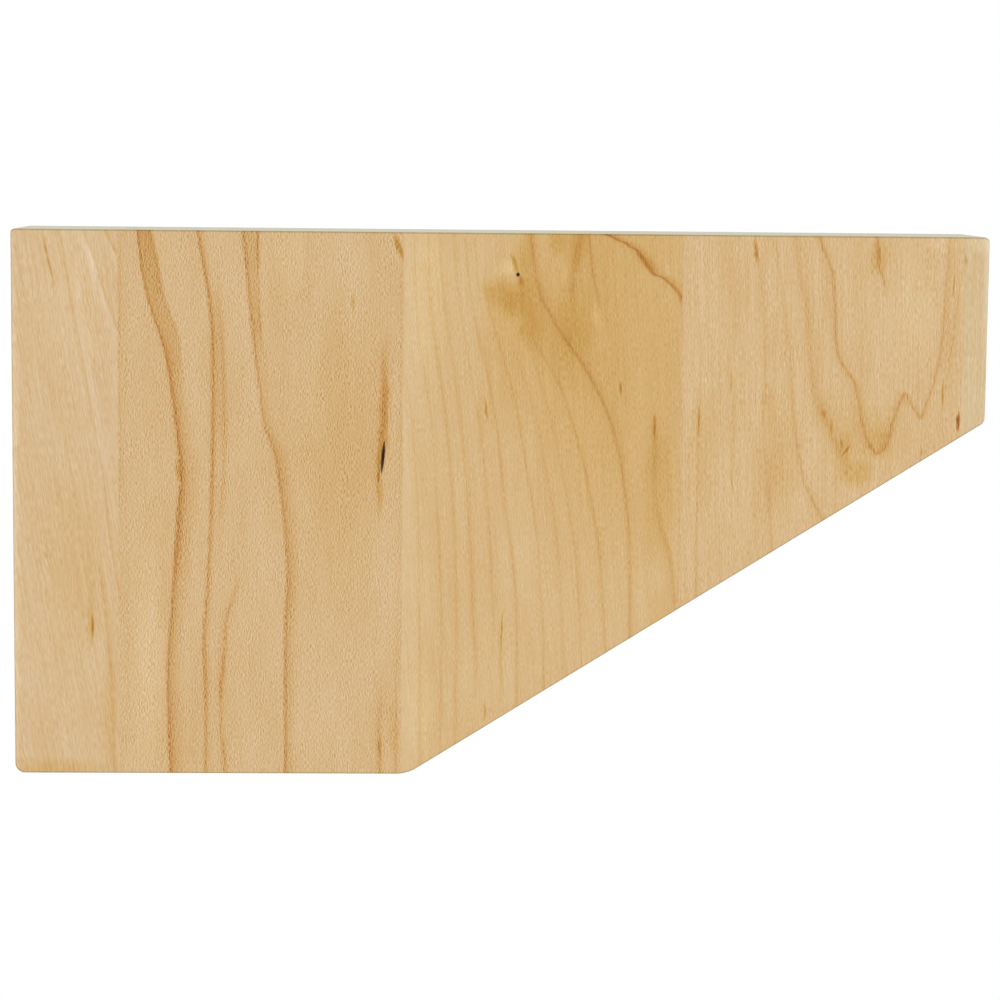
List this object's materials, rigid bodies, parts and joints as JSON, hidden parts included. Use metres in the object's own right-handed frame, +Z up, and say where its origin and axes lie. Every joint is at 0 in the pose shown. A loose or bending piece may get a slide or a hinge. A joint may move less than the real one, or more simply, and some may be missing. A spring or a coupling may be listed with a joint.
{
  "type": "pedestal table foot",
  "caption": "Solid maple foot for a pedestal table: an edge-glued board with a flat sole, a tall flat end that meets the column and a top that slopes down to a short toe.",
  "frame": {"origin": "middle of the sole, the long flat edge that stands on the floor", "axes": "+Z up from the sole, +X towards the column end, Y through the thickness"},
  "size_m": [0.339, 0.0446, 0.1905],
  "materials": {
    "maple": "sanded, unfinished hard maple"
  },
  "bodies": {
    "root": {"column_stave": "maple", "second_stave": "maple", "third_stave": "maple", "fourth_stave": "maple", "toe_stave": "maple"}
  },
  "joints": []
}
